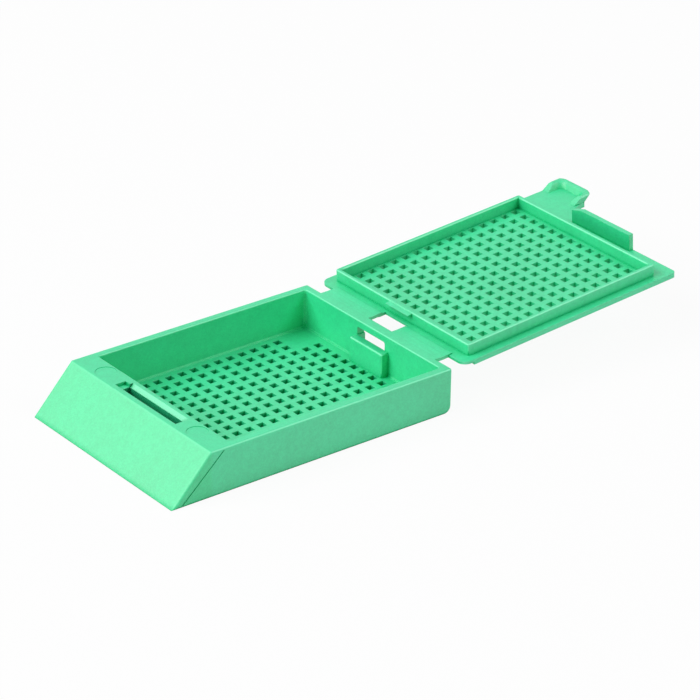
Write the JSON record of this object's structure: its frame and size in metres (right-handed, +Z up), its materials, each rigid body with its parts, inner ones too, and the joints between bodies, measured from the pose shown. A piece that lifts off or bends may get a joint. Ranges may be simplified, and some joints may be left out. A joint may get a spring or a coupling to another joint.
{
  "type": "tissue cassette",
  "caption": "Small open plastic tray with a perforated floor, slanted writing panel and a perforated hinged lid that snaps shut.",
  "frame": {"origin": "middle of the tray's underside", "axes": "+Z up, +X from the slanted panel towards the lid, +Y to the thumb tab's side"},
  "size_m": [0.0819, 0.0286, 0.0107],
  "materials": {
    "green_acetal": "satin, fine moulded grain"
  },
  "bodies": {
    "base": {"base": "green_acetal"},
    "lid": {"lid": "green_acetal"}
  },
  "joints": [
    {"name": "lid_hinge", "type": "hinge", "parent": "base", "child": "lid", "pos_m": [0.0212, 0, 0.00595], "axis": [0, -1, 0], "range_deg": [-4.4, 175.6]}
  ]
}
